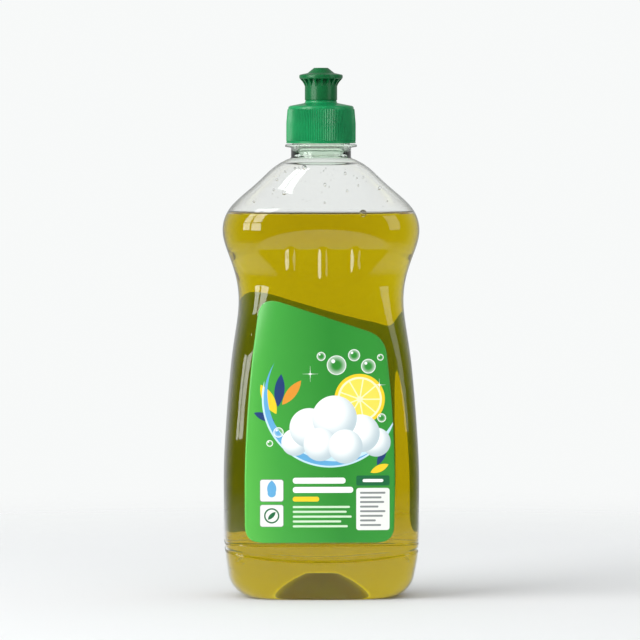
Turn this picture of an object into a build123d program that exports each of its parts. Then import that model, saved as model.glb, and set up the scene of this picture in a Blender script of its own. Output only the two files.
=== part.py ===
"""Dish soap bottle: a blown clear bottle with a gripped waist, its two film labels, the soap in it,
and a screwed-on push-pull closure. Millimetres, +Z up, +X across the front, the front faces -Y.
The origin is on the floor, under the middle of the neck."""

import os
from math import cos, radians, sin, sqrt

from build123d import *

# Body at its widest, and how far each level is drawn in from that, on each side and front and back
body_width, body_depth = 89.3, 60.4
foot_in, foot_in_deep = 3.35, 3.2
heel_in, heel_in_deep, heel_rise = 1.95, 1.9, 9.0
bumper_in, bumper_in_deep, bumper_rise = 0.45, 0.5, 10.5
panel_in, panel_in_deep, panel_rise = 0.05, 0.1, 17.5
belly_rise = 20.0
flank_in, flank_in_deep, flank_rise = 0.95, 0.5, 20.0
loin_in, loin_in_deep, loin_rise = 2.45, 1.5, 20.0
hip_in, hip_in_deep, hip_rise = 4.75, 2.9, 21.0
waist_in, waist_in_deep, waist_rise = 6.75, 3.9, 19.0
hold_in, hold_in_deep, hold_rise = 5.45, 3.2, 10.0
grip_in, grip_in_deep, grip_rise = 2.25, 1.6, 10.0
shoulder_proud, shoulder_in_deep, shoulder_rise = 0.6, 0.4, 11.0
crest_in, crest_in_deep, crest_rise = 1.65, 2.0, 9.0
cone_in, cone_in_deep, cone_rise = 6.45, 5.2, 5.6
neck_root_out, neck_root_out_deep, neck_root_rise = 3.7, 1.7, 16.5
neck_foot_diameter, neck_foot_rise = 31.0, 1.9
body_squareness, panel_squareness, cone_squareness = 0.72, 1.1, 0.67
foot_flatness, heel_flatness, bumper_flatness = 0.3, 0.45, 0.8
loin_flatness, hip_flatness, waist_flatness = 0.9, 0.6, 0.25
wall = 0.6
foot_corner_radius = 10.0

# Push-up in the floor of the bottle
push_up_width, push_up_depth, push_up_height = 57.0, 28.0, 12.0
button_width, button_depth = 18.0, 9.0

# Thumb grip below the shoulder, on the front and on the back
ledge_above_shoulder, ledge_height, ledge_inset = 1.0, 8.6, 5.4
grip_fade_height, grip_fade_gap = 2.0, 0.4
grip_corner_radius = 1.6
rib_count, rib_pitch, rib_radius, rib_proud, rib_length = 3, 14.8, 2.3, 1.4, 18.0

# Groove round the foot of the label panel, and the sagging sill below it
groove_z, groove_height, groove_depth = 25.1, 1.2, 0.35
sill_z, sill_height, sill_sag, sill_depth = 17.4, 2.2, 4.2, 0.5

# Soap
headspace_below_cone = 6.7
soap_clearance = 0.05

# Film labels, seen from the front
label_thickness, label_glue = 0.12, 0.03
label_above_groove, label_foot_width, label_offset = 0.3, 67.9, -1.8
back_label_lift = 1.8
label_left_height, label_right_height = 112.5, 93.7
label_left_lean, label_right_lean = 7.2, 3.9
label_left_bow, label_right_bow = 2.6, 1.9
label_foot_radius, label_left_radius, label_right_radius = 8.0, 8.0, 13.0

# Neck finish
neck_diameter, neck_flare_height, neck_height = 27.6, 1.5, 3.8
ring_diameter, ring_thickness, ring_taper = 33.0, 1.5, 0.4
finish_diameter, finish_height, bore_diameter = 25.0, 16.3, 21.7
mouth_round, neck_step = 0.4, 0.05

# Screw cap
cap_gap = 0.5
skirt_diameter, skirt_top_diameter, skirt_bore = 31.9, 30.8, 27.9
lip_height, knurl_height, knurl_taper_height = 1.1, 8.2, 6.4
knurl_count, knurl_depth = 120, 0.35
cap_brow_height, cap_brow_round, deck_rise, deck_thickness = 1.3, 1.2, 1.5, 1.7
collar_diameter, collar_height, collar_flare = 14.5, 1.2, 0.8
plug_length, plug_thickness, plug_clearance = 4.0, 1.1, 0.07
spout_diameter, spout_bore, spout_height = 10.6, 7.8, 8.6
bead_proud, bead_height = 0.35, 1.0
pin_diameter, pin_proud, pin_nose = 3.8, 5.8, 0.5
bridge_count, bridge_width, bridge_height = 3, 1.4, 2.2

# Push-pull nozzle
barrel_diameter, barrel_height = 14.9, 9.8
slide_clearance, orifice_clearance, orifice_length = 0.1, 0.1, 1.6
catch_height, roof_thickness = 1.3, 1.6
flange_diameter, flange_lip_height, flange_round = 20.0, 1.9, 0.7
crown_foot_diameter, crown_foot_rise, crown_foot_round = 12.4, 0.8, 1.0
crown_diameter, crown_height, crown_round = 6.4, 2.4, 0.4
gusset_count, gusset_thickness, gusset_height, gusset_inset = 18, 0.9, 3.4, 0.3
edge_break = 0.25

# Heights that follow from the rises
heel_z = heel_rise
bumper_z = heel_z + bumper_rise
panel_z = bumper_z + panel_rise
belly_z = panel_z + belly_rise
flank_z = belly_z + flank_rise
loin_z = flank_z + loin_rise
hip_z = loin_z + hip_rise
waist_z = hip_z + waist_rise
hold_z = waist_z + hold_rise
grip_z = hold_z + grip_rise
shoulder_z = grip_z + shoulder_rise
crest_z = shoulder_z + crest_rise
cone_z = crest_z + cone_rise
neck_root_z = cone_z + neck_root_rise
neck_foot_z = neck_root_z + neck_foot_rise
neck_z = neck_foot_z + neck_flare_height
ring_z = neck_z + neck_height
finish_z = ring_z + ring_thickness
mouth_z = finish_z + finish_height
fill_z = cone_z - headspace_below_cone
label_z = groove_z + groove_height + label_above_groove
cap_z = finish_z + cap_gap
knurl_z = cap_z + lip_height
taper_z = knurl_z + knurl_height
knurl_top_z = taper_z + knurl_taper_height
deck_edge_z = max(knurl_top_z, mouth_z) + cap_brow_height
deck_z = deck_edge_z + deck_rise
nozzle_z = deck_z + collar_height
spout_top_z = nozzle_z + spout_height
flange_z = nozzle_z + barrel_height
crown_foot_z = flange_z + flange_lip_height + crown_foot_rise
crown_z = crown_foot_z + crown_height

ROUND = 4 / 3 * (sqrt(2) - 1)
FAR = 200.0


def outline(z, a, b, squareness):
    """A level cross-section of four Bezier quadrants, a by b, from an ellipse to a rounded rectangle."""
    handle, corner = 0.75 * squareness, min(1, (1 + squareness) / 2)
    quadrants = []
    for i, j in [(1, 1), (-1, 1), (-1, -1), (1, -1)]:
        side, end = (i * a, 0, z), (0, j * b, z)
        reach_side, reach_end = (i * a, j * b * handle, z), (i * a * handle, j * b, z)
        bend = [side, reach_side, (i * a * corner, j * b * corner, z), reach_end, end]
        quadrants.append(Bezier(*(bend if i == j else bend[::-1])))
    return Face(Wire(quadrants))


def slab(z, height):
    return Pos(0, 0, z) * Box(FAR, FAR, height, align=(Align.CENTER, Align.CENTER, Align.MIN))


def turned(points, rounds=()):
    """A solid of revolution about Z from (radius, height) points, some of them rounded."""
    face = make_face(Polyline(points, close=True))
    for corner, radius in rounds:
        face = fillet(face.vertices().sort_by_distance(corner)[0], radius)
    return revolve(Plane.XZ * face, Axis.Z)


def hull(inset):
    """The body's form without its grips, drawn in by the inset; an inner form ends at the bore."""
    a, b = body_width / 2, body_depth / 2
    root, root_deep = neck_foot_diameter / 2 + neck_root_out, neck_foot_diameter / 2 + neck_root_out_deep
    cone, cone_deep = a - cone_in, b - cone_in_deep
    levels = [
        (max(inset, 0), a - foot_in, b - foot_in_deep, foot_flatness),
        (heel_z, a - heel_in, b - heel_in_deep, heel_flatness),
        (bumper_z, a - bumper_in, b - bumper_in_deep, bumper_flatness),
        (panel_z, a - panel_in, b - panel_in_deep, 1),
        (belly_z, a, b, 1),
        (flank_z, a - flank_in, b - flank_in_deep, 1),
        (loin_z, a - loin_in, b - loin_in_deep, loin_flatness),
        (hip_z, a - hip_in, b - hip_in_deep, hip_flatness),
        (waist_z, a - waist_in, b - waist_in_deep, waist_flatness),
        (hold_z, a - hold_in, b - hold_in_deep, 0),
        (grip_z, a - grip_in, b - grip_in_deep, 0),
        (shoulder_z, a + shoulder_proud, b - shoulder_in_deep, 0),
        (crest_z, a - crest_in, b - crest_in_deep, 0),
    ]
    rings = []
    for z, half, half_deep, flatness in levels:
        squareness = body_squareness + flatness * (panel_squareness - body_squareness)
        rings.append(outline(z, half - inset, half_deep - inset, squareness))
    middle = (cone + root) / 2 - inset, (cone_deep + root_deep) / 2 - inset
    rings.append(outline(cone_z, cone - inset, cone_deep - inset, cone_squareness))
    rings.append(outline((cone_z + neck_root_z) / 2, *middle, (cone_squareness + ROUND) / 2))
    rings.append(outline(neck_root_z, root - inset, root_deep - inset, ROUND))
    if inset >= wall:
        rings.append(outline(neck_z, *[bore_diameter / 2 + neck_step + wall - inset] * 2, ROUND))
    else:
        rings.append(outline(neck_foot_z, *[neck_foot_diameter / 2 - inset] * 2, ROUND))
    return loft(rings)


def grip_cutter(inset):
    """The wedge that opens the front thumb grip, less its ribs."""
    ledge_z = shoulder_z + ledge_above_shoulder - ledge_height
    floor_y = body_depth / 2 - shoulder_in_deep - ledge_inset
    fade_y, fade_z = body_depth / 2 - waist_in_deep + grip_fade_gap, waist_z + grip_fade_height
    lean = (fade_y - floor_y) / (ledge_z - fade_z)
    reach = 3 * ledge_inset
    wedge = make_face(Polyline([
        (-floor_y, ledge_z),
        (-floor_y - reach, ledge_z + reach * ledge_height / ledge_inset),
        (-floor_y - reach, ledge_z - reach / lean),
    ], close=True))
    if inset > 0:
        wedge = offset(wedge, amount=inset, kind=Kind.INTERSECTION)
    wedge = fillet(wedge.vertices().sort_by(Axis.X)[-1], grip_corner_radius)
    cutter = extrude(Plane.YZ * wedge, amount=FAR / 2, both=True)
    for i in range(rib_count):
        x = (i - (rib_count - 1) / 2) * rib_pitch
        y = -floor_y + rib_radius - rib_proud
        top = Vector(x, y, ledge_z)
        foot = Vector(x, y - lean * rib_length, ledge_z - rib_length)
        rib = sweep(Plane(top, z_dir=foot - top) * Circle(rib_radius - inset), Line(top, foot))
        cutter -= [rib, Pos(foot) * Sphere(rib_radius - inset)]
    return cutter


def push_up(inset):
    """The dome pressed up into the floor, grown by the inset."""
    rim, rim_deep = push_up_width / 2 + inset, push_up_depth / 2 + inset
    button, button_deep = button_width / 2 + inset, button_depth / 2 + inset
    knee, knee_deep = (2 * button + rim) / 3, (2 * button_deep + rim_deep) / 3
    return loft([
        outline(0, rim, rim_deep, body_squareness),
        outline(0.7 * push_up_height + inset, knee, knee_deep, ROUND),
        outline(push_up_height + inset, button, button_deep, ROUND),
    ], ruled=True)


def sill_band(inset):
    """The sagging groove under the label, that runs round the body; it is higher at the sides."""
    low, high, side = sill_z - inset / 2, sill_z + sill_height + inset / 2, body_width / 2 + wall
    strip = make_face([
        ThreePointArc((-side, low + sill_sag), (0, low), (side, low + sill_sag)),
        Line((side, low + sill_sag), (side, high + sill_sag)),
        ThreePointArc((side, high + sill_sag), (0, high), (-side, high + sill_sag)),
        Line((-side, high + sill_sag), (-side, low + sill_sag)),
    ])
    return extrude(Plane.XZ * strip, amount=FAR / 2, both=True) - hull(inset + sill_depth)


def bottle_form(inset):
    """The whole closed form of the body, drawn in by the inset."""
    form = hull(inset)
    form = fillet(form.faces().sort_by(Axis.Z)[0].edges(), foot_corner_radius - inset)
    front = grip_cutter(inset)
    band = slab(groove_z - inset / 2, groove_height + inset) - hull(inset + groove_depth)
    return form - [front, mirror(front, Plane.XZ), band, sill_band(inset), push_up(inset)]


def neck_blank():
    """The neck from the shoulder to the mouth, before it is bored."""
    neck, finish, ring = neck_diameter / 2, finish_diameter / 2, ring_diameter / 2
    foot = neck_foot_diameter / 2 - neck_step
    ring_foot, brim = (neck, neck_foot_z), (finish, mouth_z)
    return turned([
        (0, neck_foot_z - neck_step), (foot, neck_foot_z - neck_step), (foot, neck_foot_z), ring_foot,
        (neck, ring_z), (ring, ring_z + ring_taper), (ring, finish_z), (finish, finish_z), brim,
        (0, mouth_z),
    ], [(ring_foot, min(foot - neck, neck_flare_height) * 0.95), (brim, mouth_round)])


def make_bottle():
    bore = Pos(0, 0, neck_z) * Cylinder(
        bore_diameter / 2, mouth_z - neck_z, align=(Align.CENTER, Align.CENTER, Align.MIN))
    return bottle_form(0) + neck_blank() - [bottle_form(wall), bore]


def make_soap():
    return bottle_form(wall + soap_clearance) & slab(0, fill_z)


def label_face():
    """The label's outline in the XZ plane: a slanted top and two bowed sides."""
    half = label_foot_width / 2
    left, right = label_offset - half, label_offset + half
    foot_left, foot_right = (left, label_z), (right, label_z)
    top_left = (left + label_left_lean, label_z + label_left_height)
    top_right = (right - label_right_lean, label_z + label_right_height)
    left_mid = (left + label_left_lean / 2 - label_left_bow, label_z + label_left_height / 2)
    right_mid = (right - label_right_lean / 2 + label_right_bow, label_z + label_right_height / 2)
    face = make_face([
        Line(foot_left, foot_right),
        ThreePointArc(foot_right, right_mid, top_right),
        Line(top_right, top_left),
        ThreePointArc(top_left, left_mid, foot_left),
    ])
    corners = [(foot_left, label_foot_radius), (foot_right, label_foot_radius),
               (top_left, label_left_radius), (top_right, label_right_radius)]
    for corner, radius in corners:
        face = fillet(face.vertices().sort_by_distance(corner)[0], radius)
    return Plane.XZ * face


def make_label(side):
    """A film over the outside of the body; side is 1 for the front and -1 for the back."""
    skin = hull(-label_glue - label_thickness) - hull(-label_glue)
    lift = 0 if side > 0 else back_label_lift
    return skin & extrude(Pos(0, 0, lift) * label_face(), amount=side * FAR)


def knurl_face(z, diameter):
    """A level star of fine ridges."""
    points = []
    for i in range(2 * knurl_count):
        r = diameter / 2 - knurl_depth * (i % 2)
        angle = radians(180 * i / knurl_count)
        points.append((r * cos(angle), r * sin(angle), z))
    return make_face(Polyline(points, close=True))


def make_cap():
    lip, collar, spout = skirt_diameter / 2, collar_diameter / 2, spout_diameter / 2
    core, core_top = lip - knurl_depth, skirt_top_diameter / 2 - knurl_depth
    bead_z = spout_top_z - bead_height
    brow, deck = (core_top, deck_edge_z), (collar, deck_z)
    outside = turned([
        (0, cap_z), (lip - edge_break, cap_z), (lip, cap_z + edge_break),
        (lip, knurl_z - edge_break), (core, knurl_z), (core, taper_z), (core_top, knurl_top_z),
        brow, deck, (collar, nozzle_z - edge_break), (collar - edge_break, nozzle_z),
        (spout, nozzle_z), (spout, bead_z), (spout + bead_proud, bead_z),
        (spout + bead_proud, bead_z + bead_height / 2), (spout, spout_top_z), (0, spout_top_z),
    ], [(brow, cap_brow_round), (deck, collar_flare)])
    ridges = extrude(knurl_face(knurl_z, skirt_diameter), amount=knurl_height)
    ridges += loft([knurl_face(taper_z, skirt_diameter), knurl_face(knurl_top_z, skirt_top_diameter)],
                   ruled=True)
    plug = bore_diameter / 2 - plug_clearance
    plug_bore, skirt = plug - plug_thickness, skirt_bore / 2
    inside = turned([
        (0, cap_z), (skirt, cap_z), (skirt, mouth_z), (plug, mouth_z),
        (plug, mouth_z - plug_length), (plug_bore, mouth_z - plug_length),
        (plug_bore, deck_edge_z - deck_thickness), (collar, deck_z - deck_thickness),
        (spout_bore / 2, deck_z - deck_thickness), (spout_bore / 2, spout_top_z), (0, spout_top_z),
    ])
    pin_z = spout_top_z + pin_proud
    pin_r = pin_diameter / 2
    pin = turned([
        (0, spout_top_z - bridge_height), (pin_r, spout_top_z - bridge_height),
        (pin_r, pin_z - pin_nose), (pin_r - pin_nose, pin_z), (0, pin_z),
    ])
    reach = (spout_bore + spout_diameter) / 4
    bridge = Pos(reach / 2, 0, spout_top_z - bridge_height / 2) * Box(reach, bridge_width, bridge_height)
    bridges = [Rot(0, 0, 360 / bridge_count * i) * bridge for i in range(bridge_count)]
    return outside + ridges - inside + [pin, *bridges]


def make_nozzle():
    barrel, flange = barrel_diameter / 2, flange_diameter / 2
    crown_foot, crown = crown_foot_diameter / 2, crown_diameter / 2
    flange_top_z = flange_z + flange_lip_height
    under, over = (flange, flange_z), (flange, flange_top_z)
    brim, tip = (crown_foot, crown_foot_z), (crown, crown_z)
    outside = turned([
        (0, nozzle_z), (barrel - edge_break, nozzle_z), (barrel, nozzle_z + edge_break),
        (barrel, flange_z), under, over, brim, tip, (0, crown_z),
    ], [(under, flange_round), (over, flange_round), (brim, crown_foot_round), (tip, crown_round)])
    foot_z = flange_z - gusset_height
    reach, root_z = flange - gusset_inset, flange_z + flange_round
    web = make_face([
        Polyline([(0, foot_z), (0, root_z), (reach, root_z), (reach, flange_z)]),
        Spline([(reach, flange_z), (barrel, foot_z)], tangents=[(-1, -1), (-0.3, -1)]),
        Line((barrel, foot_z), (0, foot_z)),
    ])
    gusset = extrude(Plane.XZ * web, amount=gusset_thickness / 2, both=True)
    step = 360 / gusset_count
    gussets = [Rot(0, 0, step * (i + 0.5)) * gusset for i in range(gusset_count)]
    bore = spout_diameter / 2 + slide_clearance
    chamber = bore + bead_proud
    orifice = pin_diameter / 2 + orifice_clearance
    roof_z = crown_foot_z - roof_thickness
    throat_z = crown_z - orifice_length
    inside = turned([
        (0, nozzle_z), (bore, nozzle_z), (bore, nozzle_z + catch_height),
        (chamber, nozzle_z + catch_height), (chamber, roof_z - (chamber - orifice) / 2),
        (orifice + 0.4, throat_z), (orifice, throat_z), (orifice, crown_z), (0, crown_z),
    ])
    return outside + gussets - inside


nodes = {
    "bottle": make_bottle(),
    "dish_soap": make_soap(),
    "front_label": make_label(1),
    "back_label": make_label(-1),
    "screw_cap": make_cap(),
    "push_pull_nozzle": make_nozzle(),
}
os.makedirs("parts", exist_ok=True)
for name, shape in nodes.items():
    export_step(shape, f"parts/{name}.step")
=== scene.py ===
"""A dish soap bottle on a pale floor: clear blown bottle, soap, film labels and a green push-pull closure.
The front faces -Y. Sizes are written in millimetres and become metres where a mesh is made."""
import math

import bpy
import numpy as np
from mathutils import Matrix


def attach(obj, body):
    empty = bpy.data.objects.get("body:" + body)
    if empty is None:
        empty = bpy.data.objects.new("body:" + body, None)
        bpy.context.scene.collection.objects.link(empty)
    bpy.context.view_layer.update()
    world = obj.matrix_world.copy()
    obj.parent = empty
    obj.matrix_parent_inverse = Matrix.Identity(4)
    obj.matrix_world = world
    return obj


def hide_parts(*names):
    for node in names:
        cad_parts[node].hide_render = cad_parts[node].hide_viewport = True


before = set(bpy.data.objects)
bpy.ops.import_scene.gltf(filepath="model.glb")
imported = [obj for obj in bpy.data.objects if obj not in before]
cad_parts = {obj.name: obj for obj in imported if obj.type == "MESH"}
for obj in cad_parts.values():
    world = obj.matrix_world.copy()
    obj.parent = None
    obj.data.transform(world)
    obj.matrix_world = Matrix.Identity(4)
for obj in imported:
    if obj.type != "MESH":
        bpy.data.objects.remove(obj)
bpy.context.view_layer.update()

MM = 0.001
# The squareness at which an outline is a circle
ROUND = 4 / 3 * (math.sqrt(2) - 1)

# Bottle body
BODY_HALF, BODY_HALF_DEEP = 44.65, 30.2
WALL, SOAP_GAP = 0.6, 0.05
FOOT_CORNER, FRONT_CORNER = 10.0, 3.5
SQUARE, PANEL_SQUARE, CONE_SQUARE = 0.72, 1.1, 0.67
NECK_ROOT_Z, NECK_FOOT_Z, NECK_Z, RING_Z, FINISH_Z, MOUTH_Z = 199.1, 201.0, 202.5, 206.3, 207.8, 224.1
NECK_FOOT, NECK, RING, FINISH, BORE = 15.5, 13.8, 16.5, 12.5, 10.85
NECK_ROOT_WIDER, NECK_ROOT_DEEPER = 3.7, 1.7
THREAD_LOW_Z, THREAD_HIGH_Z, THREAD_START_Z = 211.2, 222.4, 221.2
THREAD_PITCH, THREAD_TURNS, THREAD_PROUD, THREAD_WIDTH = 3.2, 2.2, 1.1, 0.75
FILL_Z = 175.9
GROOVE_LOW, GROOVE_HIGH, GROOVE_DEPTH, GROOVE_RAMP = 25.1, 26.3, 0.35, 0.3
SILL_Z, SILL_HEIGHT, SILL_SAG, SILL_DEPTH = 17.4, 2.2, 4.2, 0.5
PUSH_UP = 12.0

# How strongly soap, a drop and a wetted wall bend light: nothing bends between soap and the wall that it wets
SOAP_IOR, DROP_IOR, NO_BEND = 1.39, 1.45, 1.0

# Height, how far the body is drawn in there at its sides and at its front and back,
# and how flat its panels are
LEVELS = [
    (0.0, 3.35, 3.2, 0.3), (9.0, 1.95, 1.9, 0.45), (19.5, 0.45, 0.5, 0.8), (37.0, 0.05, 0.1, 1.0),
    (57.0, 0.0, 0.0, 1.0), (77.0, 0.95, 0.5, 1.0), (97.0, 2.45, 1.5, 0.9), (118.0, 4.75, 2.9, 0.6),
    (137.0, 6.75, 3.9, 0.25), (147.0, 5.45, 3.2, 0.0), (157.0, 2.25, 1.6, 0.0), (168.0, -0.6, 0.4, 0.0),
    (177.0, 1.65, 2.0, 0.0), (182.6, 6.45, 5.2, 0.0),
]

# Thumb grip
LEDGE_Z, LEDGE_RUN, LEDGE_RISE = 160.4, 5.4, 8.6
FADE_Y, FADE_Z = 26.7, 139.0
GRIP_FLOOR, GRIP_BELOW, GRIP_ABOVE, GRIP_START, GRIP_EASE = 24.4, 8.0, 5.0, 8.0, 6.0
LEDGE_SOFT, RIB_SOFT, GRIP_SOFT = 0.5, 0.25, 0.3
RIBS, RIB_PITCH, RIB_RADIUS, RIB_PROUD, RIB_LENGTH = 3, 14.8, 2.3, 1.4, 18.0

# Label outline
LABEL_FOOT_Z, LABEL_HALF, LABEL_OFFSET = 26.6, 33.95, -1.8
LABEL_LEFT_TOP, LABEL_RIGHT_TOP = 112.5, 93.7
LABEL_LEFT_LEAN, LABEL_RIGHT_LEAN = 7.2, 3.9
LABEL_LEFT_BOW, LABEL_RIGHT_BOW = 2.6, 1.9
LABEL_FOOT_RADIUS, LABEL_LEFT_RADIUS, LABEL_RIGHT_RADIUS = 8.0, 8.0, 13.0
LABEL_GLUE, LABEL_FILM = 0.03, 0.11
BACK_LABEL_LIFT = 1.8

# Drops on the inside of the shoulder: across, up and radius
DROPS = [
    (-17.7, 186.1, 0.75), (-22.3, 187.3, 0.45), (1.0, 189.6, 0.5), (10.5, 194.8, 0.5), (11.1, 186.8, 0.4),
    (15.9, 192.6, 0.35), (19.0, 193.0, 0.45), (16.4, 189.2, 0.35), (26.6, 188.2, 0.8), (-8.4, 197.8, 0.8),
    (-12.6, 197.1, 0.45), (-17.1, 195.6, 0.4), (-20.9, 192.0, 0.5), (-31.4, 182.0, 0.5), (0.7, 181.5, 0.35),
    (29.6, 182.0, 0.35),
]
DROP_GROWTH, DROP_STRETCH, FINE_DROPS = 1.4, 1.2, 46
BUBBLE_X, BUBBLE_RADIUS = 18.2, 1.75


class Value:
    """A shader socket: operators on it add Math nodes, and add() makes any other node."""

    def __init__(self, tree, socket=None):
        self.tree, self.socket = tree, socket

    def add(self, kind, settings=None, inputs=None, output=0):
        node = self.tree.nodes.new(kind)
        for name, value in (settings or {}).items():
            if name == "stops":
                ramp = node.color_ramp.elements
                while len(ramp) < len(value):
                    ramp.new(1.0)
                for stop, (place, colour) in zip(ramp, value):
                    stop.position, stop.color = place, (*colour, 1.0)
            else:
                setattr(node, name, value)
        for name, value in (inputs or {}).items():
            self.feed(node.inputs[name], value)
        return Value(self.tree, node.outputs[output])

    def feed(self, socket, value):
        if isinstance(value, Value):
            self.tree.links.new(value.socket, socket)
        else:
            socket.default_value = value

    def math(self, operation, *others):
        return self.add("ShaderNodeMath", {"operation": operation}, dict(enumerate((self, *others))))

    def __add__(self, other):
        return self.math("ADD", other)

    def __sub__(self, other):
        return self.math("SUBTRACT", other)

    def __rsub__(self, other):
        return (self * -1) + other

    def __mul__(self, other):
        return self.math("MULTIPLY", other)

    def __truediv__(self, other):
        return self.math("DIVIDE", other)

    __radd__, __rmul__ = __add__, __mul__

    def most(self, other):
        return self.math("MAXIMUM", other)

    def size(self):
        return self.math("ABSOLUTE")

    def sine(self):
        return self.math("SINE")

    def beside(self, other):
        """The length of a vector of two values."""
        return (self * self + other * other).math("SQRT")

    def step(self, low, high):
        """0 below low and 1 above high, smooth between; low may be the larger of the two."""
        settings = {"interpolation_type": "SMOOTHSTEP"}
        if low < high:
            return self.add("ShaderNodeMapRange", settings, {0: self, 1: low, 2: high})
        return 1 - self.add("ShaderNodeMapRange", settings, {0: self, 1: high, 2: low})

    def paint(self, under, over):
        """Colour over laid on colour under where this value is 1."""
        sockets = {0: self, 6: under, 7: over}
        return self.add("ShaderNodeMix", {"data_type": "RGBA"}, sockets, output=2)


def srgb(red, green, blue):
    """A linear colour with alpha from 0 to 255 screen values."""
    linear = []
    for part in (red, green, blue):
        part = part / 255
        linear.append(part / 12.92 if part <= 0.04045 else ((part + 0.055) / 1.055) ** 2.4)
    return (*linear, 1.0)


# Inks of the labels
WHITE, PAPER, GREY = srgb(246, 248, 246), srgb(236, 237, 232), srgb(132, 138, 136)
FOAM_SHADE, MIST, DEEP_GREEN = srgb(186, 202, 208), srgb(206, 232, 200), srgb(16, 104, 58)
YELLOW, LEMON, CREAM, ORANGE = srgb(246, 206, 32), srgb(250, 222, 84), srgb(250, 240, 190), srgb(226, 148, 44)
NAVY, WATER, SKY = srgb(34, 62, 118), srgb(96, 168, 214), srgb(196, 226, 240)


def new_material(name, **sockets):
    """A material with one Principled shader, and a Value to hang its nodes on."""
    material = bpy.data.materials.new(name)
    material.use_nodes = True
    tree = material.node_tree
    shader = tree.nodes["Principled BSDF"]
    for socket, value in sockets.items():
        shader.inputs[socket.replace("_", " ")].default_value = value
    return material, shader, Value(tree)


def clear_plastic_material():
    """Clear blown plastic, faintly rippled, with a painted reflection of the green cap in the neck and
    painted shade where seen edge on.
    """
    clear, painted_cap_reflection, painted_edge_shade = (0.985, 0.993, 0.985, 1), (0.8, 0.9, 0.81, 1), (0.16, 0.17, 0.12, 1)
    material, shader, value = new_material(
        "clear_plastic", Roughness=0.02, IOR=SOAP_IOR, Transmission_Weight=1.0,
        Coat_Weight=0.6, Coat_Roughness=0.02, Coat_IOR=1.45)
    place = value.add("ShaderNodeTexCoord", output="Object")
    up = value.add("ShaderNodeSeparateXYZ", None, {0: place}, output="Z")
    # Painted shade: the plastic's colour turns dark where its surface is seen edge on, giving dark outlines.
    edge = value.add("ShaderNodeLayerWeight", None, {"Blend": 0.5}, output="Facing").step(0.62, 0.95)
    # Painted reflection: the neck is tinted green as if it mirrored the green cap above it.
    painted_neck_tint = up.step(NECK_ROOT_Z * MM, NECK_Z * MM).paint(clear, painted_cap_reflection)
    value.feed(shader.inputs["Base Color"], edge.paint(painted_neck_tint, painted_edge_shade))
    ripple = value.add("ShaderNodeTexNoise", None, {"Vector": place, "Scale": 55.0, "Detail": 2.0})
    bump = value.add("ShaderNodeBump", None, {"Strength": 0.12, "Distance": 0.0006, "Height": ripple})
    value.feed(shader.inputs["Normal"], bump)
    return material


def base_plastic_material():
    """The bottle's underside, left satin by the mould, with painted shade in its dark green-grey tint."""
    # Painted shade: the dark green-grey tint darkens the push-up as if it lay in shadow under the bottle.
    material, shader, value = new_material(
        "base_plastic", Base_Color=(0.48, 0.68, 0.54, 1), IOR=SOAP_IOR, Transmission_Weight=1.0)
    place = value.add("ShaderNodeTexCoord", output="Object")
    cloud = value.add("ShaderNodeTexNoise", None, {"Vector": place, "Scale": 140.0, "Detail": 3.0})
    value.feed(shader.inputs["Roughness"], 0.32 + 0.2 * cloud)
    return material


def colourless_material(name, bend, **sockets):
    """A smooth material that light goes through; bend is its index of refraction."""
    return new_material(
        name, Base_Color=(1, 1, 1, 1), Roughness=0.0, IOR=bend, Transmission_Weight=1.0, **sockets)[0]


def soap_material():
    """Clear soap that deepens with thickness; its faint glow stands for the little light that it scatters."""
    material = colourless_material(
        "dish_soap", NO_BEND, Emission_Color=(1.0, 0.82, 0.02, 1), Emission_Strength=0.026)
    value = Value(material.node_tree)
    olive = {"Color": (0.904, 0.866, 0.05, 1), "Density": 154.0}
    depth = value.add("ShaderNodeVolumeAbsorption", None, olive)
    value.feed(material.node_tree.nodes["Material Output"].inputs["Volume"], depth)
    return material


def green_plastic_material(name, colour):
    material, shader, value = new_material(name, Roughness=0.3, IOR=1.45)
    place = value.add("ShaderNodeTexCoord", output="Object")
    cloud = value.add("ShaderNodeTexNoise", None, {"Vector": place, "Scale": 90.0, "Detail": 3.0})
    grain = value.add("ShaderNodeTexNoise", None, {"Vector": place, "Scale": 2600.0, "Detail": 2.0})
    deep = tuple(0.8 * part for part in colour[:3]) + (1.0,)
    value.feed(shader.inputs["Base Color"], cloud.step(0.3, 0.7).paint(deep, colour))
    value.feed(shader.inputs["Roughness"], 0.24 + 0.1 * cloud)
    bump = value.add("ShaderNodeBump", None, {"Strength": 0.18, "Distance": 0.00006, "Height": grain})
    value.feed(shader.inputs["Normal"], bump)
    return material


def smooth_curve(points, per_span=40):
    """A natural cubic spline through rows of points, spaced by distance in their first two columns."""
    points = np.array(points, float)
    length = np.linalg.norm(np.diff(points[:, :2], axis=0), axis=1)
    mark = np.concatenate([[0.0], np.cumsum(length)])
    count = len(mark)
    system, pull = np.eye(count), np.zeros(points.shape)
    for i in range(1, count - 1):
        system[i, i - 1:i + 2] = length[i - 1], 2 * (length[i - 1] + length[i]), length[i]
        pull[i] = 6 * ((points[i + 1] - points[i]) / length[i] - (points[i] - points[i - 1]) / length[i - 1])
    bend = np.linalg.solve(system, pull)
    along = np.linspace(0, mark[-1], per_span * (count - 1) + 1)
    i = np.clip(np.searchsorted(mark, along, side="right") - 1, 0, count - 2)
    span = length[i][:, None]
    after, before = (along - mark[i])[:, None], (mark[i + 1] - along)[:, None]
    curved = (bend[i] * before ** 3 + bend[i + 1] * after ** 3) / (6 * span)
    straight = (points[i] * before + points[i + 1] * after) / span
    return curved + straight - span * (bend[i] * before + bend[i + 1] * after) / 6


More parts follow.
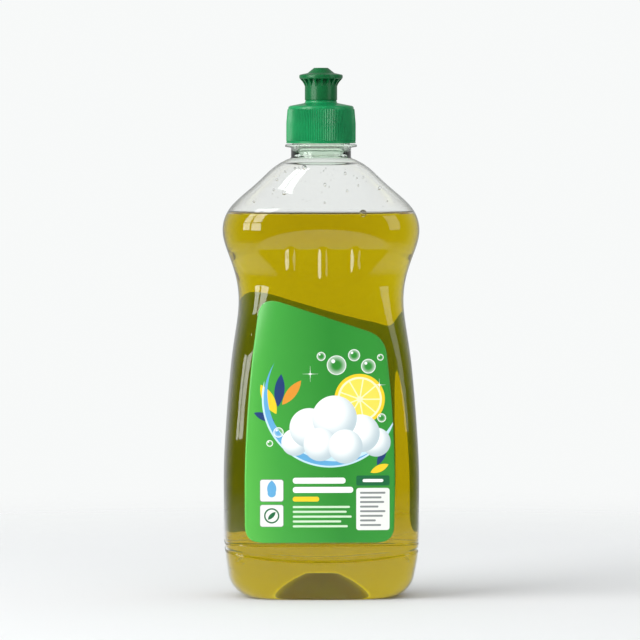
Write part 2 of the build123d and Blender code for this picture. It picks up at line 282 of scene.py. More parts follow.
def rounded(points, steps=6):
    """A polyline of (x, y, corner radius) points with its corners rounded off."""
    out = [points[0][:2]]
    for before, corner, after in zip(points, points[1:], points[2:]):
        middle = np.array(corner[:2], float)
        if not corner[2]:
            out.append(tuple(middle))
            continue
        back, ahead = np.array(before[:2]) - middle, np.array(after[:2]) - middle
        reach_back, reach_ahead = np.linalg.norm(back), np.linalg.norm(ahead)
        back, ahead = back / reach_back, ahead / reach_ahead
        turn = math.acos(max(-1.0, min(1.0, float(back @ ahead))))
        cut = min(corner[2] / math.tan(turn / 2), 0.49 * reach_back, 0.49 * reach_ahead)
        for t in np.linspace(0, 1, steps):
            out.append(tuple(middle + (1 - t) ** 2 * cut * back + t ** 2 * cut * ahead))
    out.append(points[-1][:2])
    return out


QUARTER = 52
spread = np.linspace(0, 1, QUARTER + 1)
QUARTER_STEPS = 1.25 * spread - 0.25 * spread ** 2


def quarter(half, half_deep, square, u=QUARTER_STEPS):
    """A quarter of a level outline, from the side to the back."""
    handle, corner, v = 0.75 * square, min(1.0, (1 + square) / 2), 1 - u
    x = half * (v ** 4 + 4 * u * v ** 3 + 6 * corner * u ** 2 * v ** 2 + 4 * handle * u ** 3 * v)
    y = half_deep * (4 * handle * u * v ** 3 + 6 * corner * u ** 2 * v ** 2 + 4 * u ** 3 * v + u ** 4)
    return x, y


def ring(half, half_deep, square, z):
    """A whole level outline as rows of x, y, z."""
    x, y = quarter(half, half_deep, square)
    xs = np.concatenate([x[:-1], -x[:0:-1], -x[:-1], x[:0:-1]])
    ys = np.concatenate([y[:-1], y[:0:-1], -y[:-1], -y[:0:-1]])
    return np.column_stack([xs, ys, np.full(len(xs), z)])


def circle(radius, z):
    return ring(radius, radius, ROUND, z)


def body_curve(top):
    """The body's half width, height, half depth and squareness, closely spaced from the floor up."""
    rows = [(BODY_HALF - side, z, BODY_HALF_DEEP - deep, SQUARE + flat * (PANEL_SQUARE - SQUARE))
            for z, side, deep, flat in LEVELS]
    root = (NECK_FOOT + NECK_ROOT_WIDER, NECK_ROOT_Z, NECK_FOOT + NECK_ROOT_DEEPER, ROUND)
    rows[-1] = (*rows[-1][:3], CONE_SQUARE)
    middle = tuple((low + high) / 2 for low, high in zip(rows[-1], root))
    return smooth_curve([*rows, middle, root, top])


OUTER = body_curve((NECK_FOOT, NECK_FOOT_Z, NECK_FOOT, ROUND))
INNER = body_curve((BORE + WALL, NECK_Z, BORE + WALL, ROUND))


def level(z, inset):
    """Half width, half depth and squareness of the body at a height, drawn in by the inset."""
    curve = INNER if inset >= WALL else OUTER
    half, half_deep, square = (np.interp(z, curve[:, 1], curve[:, i]) for i in (0, 2, 3))
    return half - inset, half_deep - inset, square


def soft_most(a, b, blend):
    return (a + b + np.sqrt((a - b) ** 2 + blend ** 2)) / 2


def soft_least(a, b, blend):
    return (a + b - np.sqrt((a - b) ** 2 + blend ** 2)) / 2


def grip_limit(x, z, inset):
    """How far out from the middle the thumb grip lets the body reach."""
    slope, lean = LEDGE_RUN / LEDGE_RISE, (FADE_Y - GRIP_FLOOR) / (LEDGE_Z - FADE_Z)
    ledge = GRIP_FLOOR + (z - LEDGE_Z) * slope - inset * math.hypot(1, slope)
    floor = GRIP_FLOOR + (LEDGE_Z - z) * lean - inset * math.hypot(1, lean)
    limit = soft_most(ledge, floor, LEDGE_SOFT)
    radius = RIB_RADIUS - inset
    for i in range(RIBS):
        across = x - (i - (RIBS - 1) / 2) * RIB_PITCH
        below = max(0.0, LEDGE_Z - RIB_LENGTH - z)
        bulge = np.sqrt(np.maximum(radius ** 2 - across ** 2 - below ** 2, 0.0))
        spine = floor + inset * math.hypot(1, lean) - (RIB_RADIUS - RIB_PROUD)
        limit = np.where(bulge > 0, soft_most(limit, spine + bulge, RIB_SOFT), limit)
    return limit


def body_ring(z, inset, corner_in=0.0):
    """The body's outline at a height, with its grips and its groove."""
    half, half_deep, square = level(z, inset)
    half, half_deep = half - corner_in, half_deep - corner_in * FRONT_CORNER / FOOT_CORNER
    groove = np.clip(min(z - GROOVE_LOW, GROOVE_HIGH - z) / GROOVE_RAMP, 0, 1) * GROOVE_DEPTH
    points = ring(half - groove, half_deep - groove, square, z)
    rise = (z - SILL_Z - SILL_SAG * (points[:, 0] / BODY_HALF) ** 2) / SILL_HEIGHT
    sill = SILL_DEPTH * np.sin(math.pi * np.clip(rise, 0, 1))
    points[:, :2] *= (1 - sill / np.hypot(*points[:, :2].T))[:, None]
    if FADE_Z - GRIP_BELOW < z < LEDGE_Z + LEDGE_RISE + GRIP_ABOVE:
        out = np.abs(points[:, 1])
        change = out - soft_least(out, grip_limit(points[:, 0], z, inset), GRIP_SOFT)
        near = np.clip((out - GRIP_START) / GRIP_EASE, 0, 1)
        points[:, 1] -= np.sign(points[:, 1]) * change * near
    return points


def foot_rings(inset):
    """The rounded corner between the floor and the wall."""
    radius = FOOT_CORNER - inset
    for angle in np.linspace(0, math.pi / 2, 12):
        yield body_ring(inset + radius * (1 - math.cos(angle)), inset, radius * (1 - math.sin(angle)))


def base_rings(inset):
    """The push-up in the floor, from near its middle out to where the bottle stands."""
    stand = BODY_HALF - LEVELS[0][1] - FOOT_CORNER, BODY_HALF_DEEP - LEVELS[0][2] - FRONT_CORNER
    foot_square = level(0.0, 0.0)[2]
    dome = smooth_curve([
        (3.0, PUSH_UP, 2.1), (7.6, PUSH_UP - 0.05, 5.2), (9.3, PUSH_UP - 0.8, 6.5), (15.5, 8.2, 10.6),
        (22.0, 4.3, 15.0), (26.6, 1.3, 18.0), (28.9, 0.1, 20.2), (stand[0], 0.0, stand[1]),
    ], per_span=3)
    for half, z, half_deep in dome[:-1]:
        square = ROUND + (foot_square - ROUND) * half / stand[0]
        yield ring(half + inset * 0.6, half_deep + inset * 0.6, square, max(z, 0.0) + inset)


def wall_heights(low, high):
    """Heights up the wall, close together at the groove and the grips."""
    spacings = [
        (12.0, 16.8, 1.6), (17.1, 24.6, 0.3), (24.85, 26.6, 0.15),
        (27.5, 131.0, 3.9), (131.2, 173.5, 0.8), (174.5, NECK_FOOT_Z - 0.4, 1.9),
    ]
    heights = np.concatenate([np.arange(*spacing) for spacing in spacings])
    return heights[(heights > low) & (heights < high)]


def add_mesh(name, vertices, faces, smooth=True):
    mesh = bpy.data.meshes.new(name)
    mesh.from_pydata((np.asarray(vertices) * MM).tolist(), [], faces)
    mesh.update()
    if smooth:
        mesh.polygons.foreach_set("use_smooth", [True] * len(mesh.polygons))
    piece = bpy.data.objects.new(name, mesh)
    bpy.context.scene.collection.objects.link(piece)
    return piece


def skin_faces(rings, count, start=0):
    """Four-sided faces between rings of the same count, one after the other."""
    faces = []
    for i in range(rings - 1):
        low, high = start + i * count, start + (i + 1) * count
        for j in range(count):
            k = (j + 1) % count
            faces.append((low + j, low + k, high + k, high + j))
    return faces


def closed_skin(name, rings):
    """A closed skin over rings, with its first and last ring filled in to a middle point."""
    count = len(rings[0])
    first, last = rings[0].mean(axis=0), rings[-1].mean(axis=0)
    vertices = np.vstack([*rings, first, last])
    faces = skin_faces(len(rings), count)
    bottom, top, end = len(vertices) - 2, len(vertices) - 1, (len(rings) - 1) * count
    for j in range(count):
        k = (j + 1) % count
        faces.append((bottom, k, j))
        faces.append((top, end + j, end + k))
    return add_mesh(name, vertices, faces)


def dress(piece, body, materials, slot, *nodes):
    """Puts a piece on its body, in its materials, in place of the nodes that it stands for."""
    for material in materials:
        piece.data.materials.append(material)
    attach(piece, body)
    if nodes:
        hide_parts(*nodes)


def thread_rise(radius, z, points):
    """A ring on the neck finish, with the screw thread standing out of it."""
    angle = np.arctan2(points[:, 1], points[:, 0]) / (2 * math.pi) % 1
    out = np.zeros(len(points))
    for lead in range(3):
        turn = lead + angle
        centre = THREAD_START_Z - THREAD_PITCH * turn
        fade = np.clip(np.minimum(turn - 0.1, THREAD_TURNS - turn) / 0.12, 0, 1)
        flank = np.clip(1.5 - np.abs(z - centre) / THREAD_WIDTH, 0, 1)
        out = np.maximum(out, THREAD_PROUD * fade * flank)
    points[:, :2] *= (1 + out / radius)[:, None]
    return points


def make_bottle(materials):
    """The hollow bottle in clear plastic, with its wetted inside and its satin underside."""
    rings = list(base_rings(0.0)) + list(foot_rings(0.0))
    rings += [body_ring(z, 0.0) for z in wall_heights(FOOT_CORNER + 1, NECK_FOOT_Z)]
    neck = rounded([
        (NECK_FOOT, NECK_FOOT_Z, 0), (NECK, NECK_FOOT_Z + 0.5, 1.3), (NECK, RING_Z, 0.4),
        (RING, RING_Z + 0.4, 0.35), (RING, FINISH_Z, 0.35),
        (FINISH + 0.6, FINISH_Z, 0.5), (FINISH + 0.6, FINISH_Z + 2.4, 0.3),
        (FINISH, FINISH_Z + 3.0, 0.3), (FINISH, THREAD_LOW_Z - 0.3, 0),
    ])
    rings += [circle(r, z) for r, z in neck]
    thread_heights = np.arange(THREAD_LOW_Z, THREAD_HIGH_Z, 0.35)
    rings += [thread_rise(FINISH, z, circle(FINISH, z)) for z in thread_heights]
    brim = rounded([
        (FINISH, THREAD_HIGH_Z + 0.2, 0), (FINISH, MOUTH_Z, 0.5),
        (BORE, MOUTH_Z, 0.3), (BORE, MOUTH_Z - 2, 0),
    ])
    rings += [circle(r, z) for r, z in brim]
    rings += [circle(BORE, z) for z in (217.0, 211.0, 206.0, NECK_Z)]
    inside = [FILL_Z, *wall_heights(FOOT_CORNER + 1, NECK_Z)]
    rings += [body_ring(z, WALL) for z in sorted(inside, reverse=True)]
    dry = len(rings) - sum(z < FILL_Z for z in inside) - 1
    rings += list(foot_rings(WALL))[::-1] + list(base_rings(WALL))[::-1]
    piece = closed_skin("clear_bottle", rings)
    count = len(rings[0])
    wetted, underside = 1, 2
    caps = (len(rings) - 1) * count
    kind = np.zeros(len(piece.data.polygons), int)
    kind[dry * count:caps] = wetted
    kind[caps + 1::2] = wetted
    kind[:len(list(base_rings(0.0))) * count] = underside
    kind[caps::2] = underside
    piece.data.polygons.foreach_set("material_index", kind)
    dress(piece, "bottle", materials, "clear_plastic", "bottle")


def make_soap(soap, surface, wet):
    """The soap, and over it a thin skin that is its surface, drawn up a little where it meets the wall."""
    inset = WALL + SOAP_GAP
    climb, reach, skin = 1.3, 1.1, 0.1
    body_top = FILL_Z - 2 * skin
    rings = list(base_rings(inset)) + list(foot_rings(inset))
    rings += [body_ring(z, inset) for z in (*wall_heights(FOOT_CORNER + 1, body_top - 0.4), body_top)]
    dress(closed_skin("dish_soap_fill", rings), "bottle", [soap], "soap", "dish_soap")
    half, half_deep, square = level(FILL_Z, inset)
    steps = (22.0, 15.0, 9.0, 5.0, 3.0, 2.0, 1.4, 0.9, 0.5, 0.25)
    under = [ring(half - away, half_deep - away, square, FILL_Z - skin) for away in steps]
    under += [body_ring(z, inset) for z in (FILL_Z - skin, FILL_Z + climb * 0.5, FILL_Z + climb)]
    tops = [FILL_Z + climb * math.exp(-away / reach) for away in steps]
    over = [ring(half - away, half_deep - away, square, z) for away, z in zip(steps, tops)]
    piece = closed_skin("soap_meniscus", under + over[::-1])
    count = len(under[0])
    hidden = np.zeros(len(piece.data.polygons), int)
    hidden[:(len(under) - 1) * count] = 1
    hidden[(len(under) + len(over) - 1) * count::2] = 1
    piece.data.polygons.foreach_set("material_index", hidden)
    dress(piece, "bottle", [surface, wet], "soap")


def wall_depth(x, z):
    """How far the front of the inner wall stands from the middle."""
    around_x, around_y = quarter(*level(z, WALL), np.linspace(0, 1, 300))
    return float(np.interp(abs(x), around_x[::-1], around_y[::-1]))


def unit_ball(rings=10, count=18):
    """Points and faces of a ball of radius 1."""
    points, faces = [(0.0, 0.0, -1.0)], []
    for i in range(1, rings):
        tilt = math.pi * i / rings
        for j in range(count):
            turn = 2 * math.pi * j / count
            out = math.sin(tilt)
            points.append((out * math.cos(turn), out * math.sin(turn), -math.cos(tilt)))
    points.append((0.0, 0.0, 1.0))
    last = len(points) - 1
    for j in range(count):
        k = (j + 1) % count
        faces.append((0, 1 + k, 1 + j))
        faces.append((last, last - count + j, last - count + k))
    return np.array(points), faces + skin_faces(rings - 1, count, start=1)


def make_droplets(material):
    """Drops of soap left on the inside of the shoulder, and a bubble at the soap's edge."""
    chance = np.random.default_rng(7)
    drops = [(x, z, DROP_GROWTH * radius, DROP_STRETCH, -1) for x, z, radius in DROPS]
    for _ in range(FINE_DROPS):
        z = chance.uniform(FILL_Z + 3, NECK_ROOT_Z - 1)
        x = chance.uniform(-0.9, 0.9) * float(level(z, WALL)[0])
        drops.append((x, z, chance.uniform(0.14, 0.34), chance.uniform(0.9, 1.5), chance.choice([-1, 1])))
    ball, ball_faces = unit_ball()
    vertices, faces = [], []
    for x, z, radius, stretch, side in drops:
        depth, near = wall_depth(x, z), 0.2
        across = np.array([near, side * (wall_depth(x + near, z) - depth), 0.0])
        upward = np.array([0.0, side * (wall_depth(x, z + near) - depth), near])
        across, upward = across / np.linalg.norm(across), upward / np.linalg.norm(upward)
        inward = np.cross(across, upward)
        inward = inward / np.linalg.norm(inward) * (-side if inward[1] > 0 else side)
        middle = np.array([x, side * depth, z]) + inward * (0.55 * radius + 0.03)
        axes = np.array([across * radius, upward * radius * stretch, inward * 0.55 * radius])
        faces += [tuple(v + len(vertices) for v in face) for face in ball_faces]
        vertices += (middle + ball @ axes).tolist()
    dress(add_mesh("droplets", vertices, faces), "bottle", [material], "soap")
    middle = np.array([BUBBLE_X, BUBBLE_RADIUS + 0.1 - wall_depth(BUBBLE_X, FILL_Z), FILL_Z + 0.5])
    dress(add_mesh("soap_bubble", middle + ball * BUBBLE_RADIUS, ball_faces), "bottle", [material], "soap")


class Print:
    """Artwork built up in layers from simple shapes, placed in millimetres across and up the label."""

    EDGE = 0.07

    def __init__(self, x, z, ground):
        self.x, self.z, self.colour = x, z, ground

    def lay(self, mask, colour):
        self.colour = mask.paint(self.colour, colour)

    def away(self, x, z):
        return (self.x - x).beside(self.z - z)

    def disc(self, x, z, radius):
        return self.away(x, z).step(radius + self.EDGE, radius - self.EDGE)

    def box(self, x, z, half, high, corner):
        across = ((self.x - x).size() - (half - corner)).most(0.0)
        up = ((self.z - z).size() - (high - corner)).most(0.0)
        return across.beside(up).step(corner + self.EDGE, corner - self.EDGE)

    def leaf(self, x, z, angle, length, width):
        """A pointed leaf from its middle, turned by an angle in degrees."""
        c, s = math.cos(math.radians(angle)), math.sin(math.radians(angle))
        dx, dz = self.x - x, self.z - z
        along, across = dx * c + dz * s, (dz * c - dx * s).size()
        radius = (length ** 2 + width ** 2) / (4 * width)
        return along.beside(across + (radius - width / 2)).step(radius + self.EDGE, radius - self.EDGE)

    def bubble(self, x, z, radius):
        away = self.away(x, z)
        within = away.step(radius + self.EDGE, radius - self.EDGE)
        self.lay(away.step(radius * 0.35, radius) * within * 0.45, WHITE)
        self.lay(away.step(radius - 0.42, radius - 0.2) * within * 0.85, WHITE)
        self.lay(self.disc(x - radius * 0.35, z + radius * 0.4, radius * 0.2) * 0.95, WHITE)

    def sparkle(self, x, z, reach):
        across, up = (self.x - x).size(), (self.z - z).size()
        self.lay((across * up).step(0.16, 0.03) * self.disc(x, z, reach), WHITE)

    def bars(self, left, top, lengths, pitch, high, colour):
        """Rows of plain bars, one below the other, from a common left edge."""
        for row, length in enumerate(lengths):
            self.lay(self.box(left + length / 2, top - row * pitch, length / 2, high / 2, high / 2.2), colour)


def label_coordinates(value):
    """Millimetres across and up, from the middle of the bottle's foot."""
    place = value.add("ShaderNodeTexCoord", output="Object")
    apart = [value.add("ShaderNodeSeparateXYZ", None, {0: place}, output=axis) for axis in ("X", "Z")]
    return [part * (1 / MM) for part in apart]


def film_finish(value, shader):
    """A satin film: faint print mottle in its gloss and a very slight waviness."""
    place = value.add("ShaderNodeTexCoord", output="Object")
    mottle = value.add("ShaderNodeTexNoise", None, {"Vector": place, "Scale": 220.0, "Detail": 3.0})
    wave = value.add("ShaderNodeTexNoise", None, {"Vector": place, "Scale": 38.0, "Detail": 1.0})
    value.feed(shader.inputs["Roughness"], 0.27 + 0.12 * mottle)
    bump = value.add("ShaderNodeBump", None, {"Strength": 0.25, "Distance": 0.0004, "Height": wave})
    value.feed(shader.inputs["Normal"], bump)


def label_ground(value, x, z):
    """The printed green field, with a painted highlight along the left edge and painted shade right of the
    middle.
    """
    # Painted light and shade: the ramp lightens the print's green at the left and darkens it right of the
    # middle.
    stops = [(0.0, srgb(80, 176, 66)[:3]), (0.22, srgb(62, 160, 58)[:3]),
             (0.6, srgb(40, 138, 44)[:3]), (1.0, srgb(50, 150, 52)[:3])]
    left, width, middle, slant = -36.0, 70.0, 80.0, 0.06
    across = (x - left + (z - middle) * slant) / width
    return value.add("ShaderNodeValToRGB", {"stops": stops}, {0: across})


def front_label_material():
    material, shader, value = new_material("front_label_print", IOR=1.48)
    x, z = label_coordinates(value)
    art = Print(x, z, label_ground(value, x, z))
    leaves = (
        ((-25.0, 92.0, 118, 15, 5.2), YELLOW), ((-20.0, 96.0, 84, 15, 4.6), NAVY),
        ((-14.5, 95.0, 52, 14, 4.4), ORANGE), ((-27.0, 84.0, 158, 10, 3.4), NAVY),
        ((25.5, 60.5, 24, 9, 3.2), YELLOW), ((26.5, 66.0, 62, 9, 3.0), NAVY),
    )
    for leaf, colour in leaves:
        art.lay(art.leaf(*leaf), colour)
    wave_x, wave_z = 3.0, 92.0
    art.lay(art.disc(wave_x, wave_z, 31.0) * (1 - art.disc(4.5, 97.5, 31.5)), SKY)
    art.lay(art.disc(wave_x, wave_z, 30.2) * (1 - art.disc(5.5, 94.8, 31.0)), WATER)
    slice_x, slice_z = 16.5, 92.0
    away = art.away(slice_x, slice_z)
    art.lay(art.disc(slice_x, slice_z, 11.5), YELLOW)
    art.lay(away.step(10.2, 10.0), CREAM)
    turn = (art.z - slice_z).math("ARCTAN2", art.x - slice_x)
    spoke = ((turn * 4.5).sine().size() * away).step(0.9, 1.5)
    art.lay(spoke * away.step(9.3, 9.1) * away.step(1.2, 1.4), LEMON)
    foam = (
        (-13.0, 72.5, 6.2), (24.0, 72.5, 6.6), (-6.5, 79.0, 9.0), (17.0, 76.5, 8.6),
        (5.0, 83.5, 10.2), (-1.5, 71.5, 7.6), (10.0, 70.5, 7.8),
    )
    for x_at, z_at, radius in foam:
        away = art.away(x_at - radius * 0.25, z_at + radius * 0.3)
        shade = away.step(radius * 0.45, radius * 1.3).paint(WHITE, FOAM_SHADE)
        art.lay(art.disc(x_at, z_at, radius), shade)
    bubbles = (
        (6.0, 107.5, 4.4), (14.0, 112.0, 2.7), (20.5, 107.0, 3.3), (-1.0, 111.5, 2.0),
        (26.0, 111.0, 1.5), (-20.5, 77.0, 2.3), (-24.5, 72.0, 1.5), (26.5, 83.5, 2.0),
    )
    for bubble in bubbles:
        art.bubble(*bubble)
    art.sparkle(-6.0, 103.5, 3.6)
    art.sparkle(25.5, 98.5, 2.8)
    art.lay(art.box(22.5, 55.0, 7.6, 2.3, 0.8), DEEP_GREEN)
    art.bars(17.8, 55.0, (9.4,), 1.0, 1.4, WHITE)
    art.lay(art.box(22.5, 42.0, 7.6, 9.6, 1.2), PAPER)
    art.bars(16.6, 49.4, (11.6, 9.8, 11.0, 8.4, 11.6, 10.4, 7.2, 9.6), 2.1, 0.9, GREY)
    art.bars(-14.0, 55.0, (24.0, 27.5), 4.2, 2.7, WHITE)
    art.bars(-14.0, 46.6, (12.0,), 1.0, 2.2, YELLOW)
    art.bars(-14.0, 43.0, (26.0, 24.5, 26.8, 22.0, 25.0), 2.2, 0.95, MIST)
    panel_x, drop_z, leaf_z = -23.6, 50.5, 39.0
    for z_at in (drop_z, leaf_z):
        art.lay(art.box(panel_x, z_at, 5.4, 5.1, 1.1), GREY)
        art.lay(art.box(panel_x, z_at, 5.2, 4.9, 1.0), PAPER)
    art.lay(art.leaf(panel_x, drop_z + 0.8, 90, 7.6, 4.2), WATER)
    art.lay(art.disc(panel_x, drop_z - 1.2, 1.9), WATER)
    art.lay(art.disc(panel_x, leaf_z, 3.5) * (1 - art.disc(panel_x, leaf_z, 2.8)), DEEP_GREEN)
    art.lay(art.leaf(panel_x, leaf_z, 45, 5.0, 1.9), DEEP_GREEN)
    value.feed(shader.inputs["Base Color"], art.colour)
    film_finish(value, shader)
    return material


def back_label_material():
    material, shader, value = new_material("back_label_print", IOR=1.48)
    x, z = label_coordinates(value)
    x = x * -1
    art = Print(x, z, label_ground(value, x, z))
    art.lay(art.disc(2.0, 116.0, 22.0) * (1 - art.disc(0.0, 121.0, 23.0)), SKY)
    art.lay(art.leaf(14.0, 112.0, 60, 14, 4.6), YELLOW)
    art.lay(art.leaf(20.0, 109.0, 30, 13, 4.2), NAVY)
    for bubble in ((-8.0, 104.5, 3.0), (-14.5, 106.0, 1.9), (24.0, 120.0, 2.4)):
        art.bubble(*bubble)
    art.bars(-24.0, 91.0, (38.0, 30.0), 4.4, 2.6, WHITE)
    art.lay(art.box(1.0, 63.0, 26.5, 19.5, 1.6), PAPER)
    lengths = (22.0, 20.5, 22.0, 17.5, 21.0, 22.0, 14.0, 19.0, 21.5, 22.0, 16.0)
    for left in (-23.0, 2.4):
        art.bars(left, 79.4, lengths, 3.1, 1.1, GREY)
    panel_z = 35.5
    for x_at in (-19.0, -8.0):
        art.lay(art.box(x_at, panel_z, 4.6, 4.6, 0.9), PAPER)
        art.lay(art.disc(x_at, panel_z, 3.2) * (1 - art.disc(x_at, panel_z, 2.4)), GREY)
    art.bars(0.5, 38.2, (24.0, 21.0, 23.0), 2.7, 1.1, MIST)
    value.feed(shader.inputs["Base Color"], art.colour)
    film_finish(value, shader)
    return material


def label_inside_material():
    """The printed film seen from the bottle's inside, through the soap, with a painted glow for the light
    that comes through it.
    """
    # Painted light: the film's inside glows faintly green, as light passing through the film from outside
    # would.
    material, shader, value = new_material(
        "label_inside", Roughness=0.6, IOR=1.45, Emission_Color=srgb(120, 190, 96), Emission_Strength=0.3)
    place = value.add("ShaderNodeTexCoord", output="Object")
    cloud = value.add("ShaderNodeTexNoise", None, {"Vector": place, "Scale": 60.0, "Detail": 3.0})
    paper = cloud.step(0.3, 0.7).paint(srgb(192, 230, 184), srgb(206, 240, 198))
    value.feed(shader.inputs["Base Color"], paper)
    return material


def label_outline():
    """The label's rounded outline across and up, anticlockwise from the foot."""
    left, right = LABEL_OFFSET - LABEL_HALF, LABEL_OFFSET + LABEL_HALF
    bend = np.linspace(0.26, 0.74, 9)
    corners = [(0.0, LABEL_FOOT_Z, 0), (right, LABEL_FOOT_Z, LABEL_FOOT_RADIUS)]
    sides = [(right, -LABEL_RIGHT_LEAN, LABEL_RIGHT_BOW, LABEL_RIGHT_TOP, LABEL_RIGHT_RADIUS, 1),
             (left, LABEL_LEFT_LEAN, -LABEL_LEFT_BOW, LABEL_LEFT_TOP, LABEL_LEFT_RADIUS, -1)]
    for foot, lean, bow, top, radius, climb in sides:
        run = [(foot + lean * t + 4 * bow * t * (1 - t), LABEL_FOOT_Z + top * t, 0) for t in bend]
        end = (foot + lean, LABEL_FOOT_Z + top, radius)
        corners += [*run, end] if climb > 0 else [end, *run[::-1]]
    corners += [(left, LABEL_FOOT_Z, LABEL_FOOT_RADIUS), (0.0, LABEL_FOOT_Z, 0)]
    return np.array(rounded(corners, steps=14))


def make_label(name, side, lift, materials, node):
    """A closed film over the body; side is -1 for the front and 1 for the back."""
    edge = label_outline() + (0.0, lift)
    low, high = edge[:, 1].min(), edge[:, 1].max()
    t = np.linspace(0, 1, 121)
    rows = low + (high - low) * (0.5 - 0.5 * np.cos(math.pi * t)) * 0.35 + (high - low) * t * 0.65
    columns = np.linspace(0, 1, 97)
    peak = int(np.argmax(edge[:, 1]))
    right, left = edge[:peak + 1], edge[peak:][::-1]
    grids = []
    for off in (LABEL_GLUE + LABEL_FILM, LABEL_GLUE):
        grid = []
        for z in rows:
            x_left, x_right = np.interp(z, left[:, 1], left[:, 0]), np.interp(z, right[:, 1], right[:, 0])
            x = x_left + (x_right - x_left) * columns
            around_x, around_y = quarter(*level(z, -off), np.linspace(0, 1, 400))
            y = np.interp(np.abs(x), around_x[::-1], around_y[::-1])
            grid.append(np.column_stack([x, side * y, np.full(len(x), z)]))
        grids.append(np.vstack(grid))
    wide, total = len(columns), len(rows) * len(columns)
    outer, inner, rim = [], [], []
    for i in range(len(rows) - 1):
        for j in range(wide - 1):
            a = i * wide + j
            quad = (a, a + 1, a + wide + 1, a + wide)
            outer.append(quad if side < 0 else quad[::-1])
            back = tuple(total + v for v in quad)
            inner.append(back[::-1] if side < 0 else back)
    loop = [*range(wide - 1), *range(wide - 1, total - 1, wide), *range(total - 1, total - wide, -1),
            *range(total - wide, 0, -wide)]
    for a, b in zip(loop, loop[1:] + loop[:1]):
        quad = (a, total + a, total + b, b)
        rim.append(quad if side < 0 else quad[::-1])
    piece = add_mesh(name, np.vstack(grids), outer + inner + rim)
    for face in piece.data.polygons[len(outer):]:
        face.material_index = 1
    dress(piece, "bottle", materials, "label_film", node)


wet_plastic = colourless_material("wet_plastic", NO_BEND)
make_bottle([clear_plastic_material(), wet_plastic, base_plastic_material()])
make_soap(soap_material(), colourless_material("soap_surface", SOAP_IOR), wet_plastic)
make_droplets(colourless_material("droplets", DROP_IOR))
inside = label_inside_material()
make_label("front_film", -1, 0.0, [front_label_material(), inside], "front_label")
make_label("back_film", 1, BACK_LABEL_LIFT, [back_label_material(), inside], "back_label")
cap_green = green_plastic_material("cap_green", srgb(18, 142, 82))
nozzle_green = green_plastic_material("nozzle_green", srgb(4, 101, 51))
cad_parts["screw_cap"].data.materials[0] = cap_green
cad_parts["push_pull_nozzle"].data.materials[0] = nozzle_green

# Camera: far away with a long lens, at about the cap's height, and a little to the left
DISTANCE, EYE, TURN, MM_PER_PIXEL = 2400.0, 213.8, math.radians(2.2), 0.46
PICTURE, FLOOR_ROW, SHIFT_PIXELS, SENSOR = 640, 596.2, -1.0, 36.0
camera_data = bpy.data.cameras.new("camera")
camera = bpy.data.objects.new("camera", camera_data)
bpy.context.scene.collection.objects.link(camera)
bpy.context.scene.camera = camera
focal = DISTANCE / MM_PER_PIXEL
camera_data.sensor_width = SENSOR
camera_data.lens = focal * SENSOR / PICTURE
camera_data.clip_end = 100.0
horizon = PICTURE / 2 - (FLOOR_ROW - EYE / MM_PER_PIXEL)
camera.rotation_euler = (math.pi / 2 - math.atan(horizon / focal), 0.0, -TURN)
aside = SHIFT_PIXELS * MM_PER_PIXEL
camera.location = (
    MM * (-DISTANCE * math.sin(TURN) + aside * math.cos(TURN)),
    MM * (-DISTANCE * math.cos(TURN) - aside * math.sin(TURN)),
    MM * EYE,
)


def add_lamp(name, place, target, width, height, power, shown=True):
    """A lamp that faces the target: a shown one is mirrored in the bottle, and the others only light it."""
    data = bpy.data.lights.new(name, "AREA")
    data.shape, data.size, data.size_y = "RECTANGLE", width, height
    data.energy = power
    lamp = bpy.data.objects.new(name, data)
    bpy.context.scene.collection.objects.link(lamp)
    lamp.location = place
    away = np.array(place) - np.array(target)
    flat = math.hypot(away[0], away[1])
    lamp.rotation_euler = (math.atan2(flat, away[2]), 0.0, math.atan2(away[0], -away[1]))
    lamp.visible_diffuse, lamp.visible_glossy, lamp.visible_transmission = not shown, shown, False


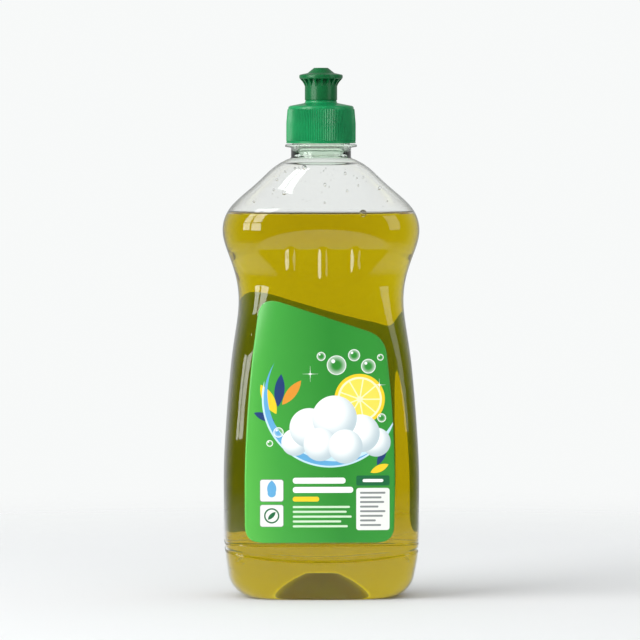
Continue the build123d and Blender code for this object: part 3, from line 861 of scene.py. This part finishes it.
# A window of panes at the left front, a narrow one at the right, and two soft lights
MIDDLE = (0.0, 0.0, 0.13)
WINDOW_X, WINDOW_Y, PANE_WIDE, PANE_HIGH, PANE_POWER = -1.75, -1.15, 0.6, 0.58, 7.0
for row, (near, up) in enumerate(((1.0, 0.45), (1.0, 1.15), (1.0, 1.85), (0.8, 2.6))):
    for column, along in enumerate((-0.36, 0.36)):
        spot = (WINDOW_X * near + along * 0.6, WINDOW_Y * near - along * 0.8, up)
        add_lamp(f"window_pane_{row}_{column}", spot, MIDDLE, PANE_WIDE, PANE_HIGH, PANE_POWER)
add_lamp("window_right", (1.75, -1.0, 0.85), MIDDLE, 0.9, 1.4, 7.0)
add_lamp("soft_left", (-2.0, -0.95, 0.95), MIDDLE, 2.4, 1.6, 64.0, shown=False)
add_lamp("soft_front", (0.6, -2.2, 1.4), MIDDLE, 1.8, 1.6, 8.0, shown=False)

world = bpy.data.worlds.new("studio")
bpy.context.scene.world = world
world.use_nodes = True
sky = Value(world.node_tree)
facing = sky.add("ShaderNodeTexCoord", output="Generated")
backward = sky.add("ShaderNodeSeparateXYZ", None, {0: facing}, output="Y")
dim, pale = (0.05, 0.05, 0.05, 1), (0.42, 0.43, 0.43, 1)
daylight, backdrop = (0.72, 0.73, 0.74, 1), (0.935, 0.95, 0.945, 1)
room = backward.step(-0.2, 0.7).paint(dim, pale)
seen, bent, mirrored = (
    sky.add("ShaderNodeLightPath", output=kind)
    for kind in ("Is Camera Ray", "Is Transmission Ray", "Is Glossy Ray"))
light = seen.most(bent).paint(mirrored.paint(daylight, room), backdrop)
sky.feed(world.node_tree.nodes["Background"].inputs["Color"], light)


def make_floor():
    """A pale floor that fades into the background."""
    rim, count = 760.0, 96
    angles = np.linspace(0, 2 * math.pi, count, endpoint=False)
    vertices = [(rim * math.cos(a), rim * math.sin(a), 0.0) for a in angles]
    floor = add_mesh("floor", vertices, [tuple(range(count))], smooth=False)
    material, shader, value = new_material("pale_floor", Base_Color=(0.83, 0.84, 0.84, 1), Roughness=0.9)
    place = value.add("ShaderNodeTexCoord", output="Object")
    away = value.add("ShaderNodeVectorMath", {"operation": "LENGTH"}, {0: place}, output="Value")
    tree = material.node_tree
    clear = value.add("ShaderNodeBsdfTransparent")
    layers = {0: away.step(0.22, 0.72), 1: Value(tree, shader.outputs[0]), 2: clear}
    mix = value.add("ShaderNodeMixShader", None, layers)
    value.feed(tree.nodes["Material Output"].inputs["Surface"], mix)
    floor.data.materials.append(material)


make_floor()
bpy.context.scene.view_settings.view_transform = "Standard"
# Light is followed far enough to leave the soap again
LIGHT_BOUNCES = 30
bpy.context.scene.cycles.max_bounces = LIGHT_BOUNCES
bpy.context.scene.cycles.transmission_bounces = LIGHT_BOUNCES
